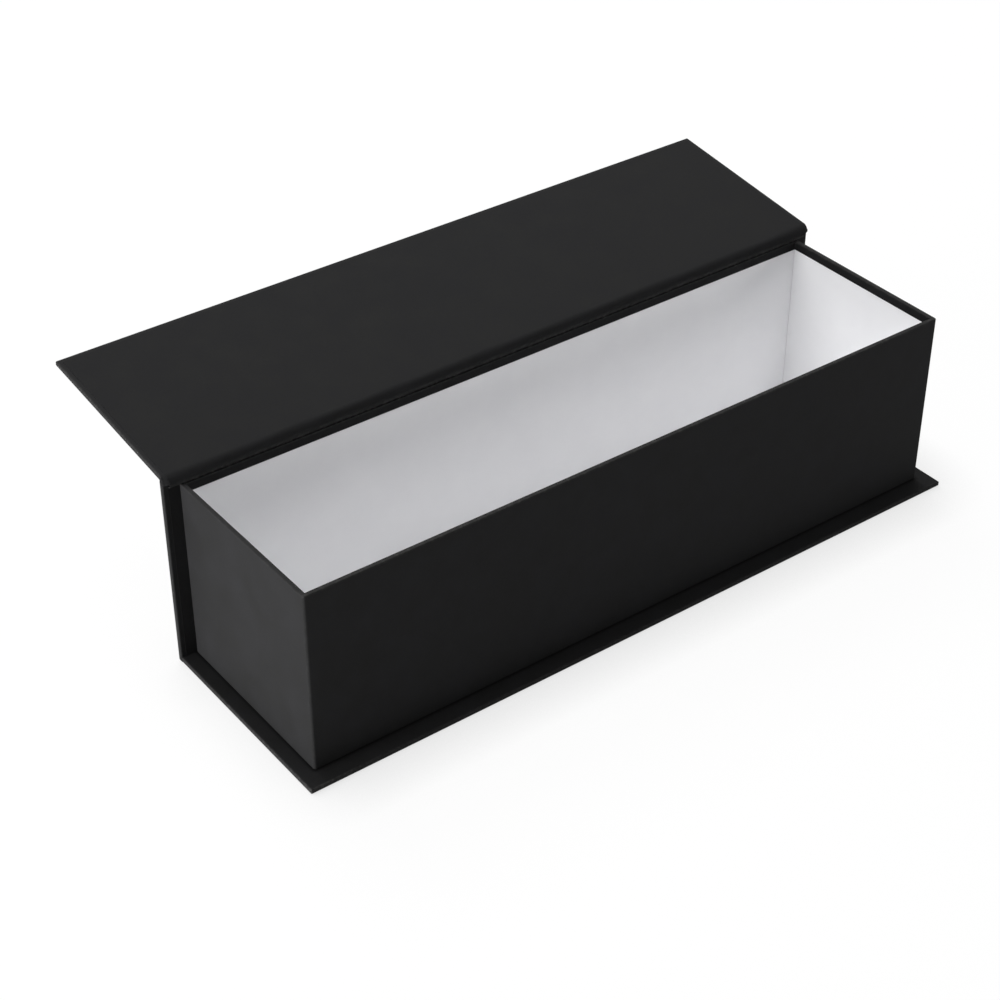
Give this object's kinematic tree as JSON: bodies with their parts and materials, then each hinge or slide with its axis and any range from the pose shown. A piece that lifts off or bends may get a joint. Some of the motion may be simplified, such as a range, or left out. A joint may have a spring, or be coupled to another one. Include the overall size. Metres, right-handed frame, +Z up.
{
  "type": "book-style wine bottle gift box",
  "caption": "Rigid gift box for one wine bottle lying down: a paper-wrapped, white-lined tray glued to a hardcover case whose lid swings on a paper hinge.",
  "frame": {"origin": "on the underside of the base, at the middle of the tray's length and of the tray's depth", "axes": "+X along the box to its right end, -Y to the front, +Z up; the lid is hinged along the back"},
  "size_m": [0.3806, 0.2058, 0.1145],
  "materials": {
    "black_paper": "matt, uncoated",
    "black_inner_paper": "matt, uncoated",
    "white_paper": "matt, uncoated",
    "greyboard": "raw board",
    "gummed_tape": "kraft paper"
  },
  "bodies": {
    "box": {"tray_floor_board": "greyboard", "tray_front_board": "greyboard", "tray_back_board": "greyboard", "tray_left_board": "greyboard", "tray_right_board": "greyboard", "corner_stays": "gummed_tape", "tray_wrap": "black_paper", "lining_sheet": "white_paper", "lining_left_end": "white_paper", "lining_right_end": "white_paper", "base_board": "greyboard", "base_cover": "black_paper", "spine_board": "greyboard", "spine_cover": "black_paper", "spine_liner": "black_inner_paper", "hinge_cover": "black_paper", "hinge_liner": "black_inner_paper"},
    "lid": {"lid_board": "greyboard", "lid_cover": "black_paper", "lid_liner": "black_inner_paper"}
  },
  "joints": [
    {"name": "lid_hinge", "type": "hinge", "parent": "box", "child": "lid", "pos_m": [0, 0.0485, 0.1002], "axis": [1, 0, 0], "range_deg": [-9, 173], "deforming": ["hinge_cover", "hinge_liner"]}
  ]
}
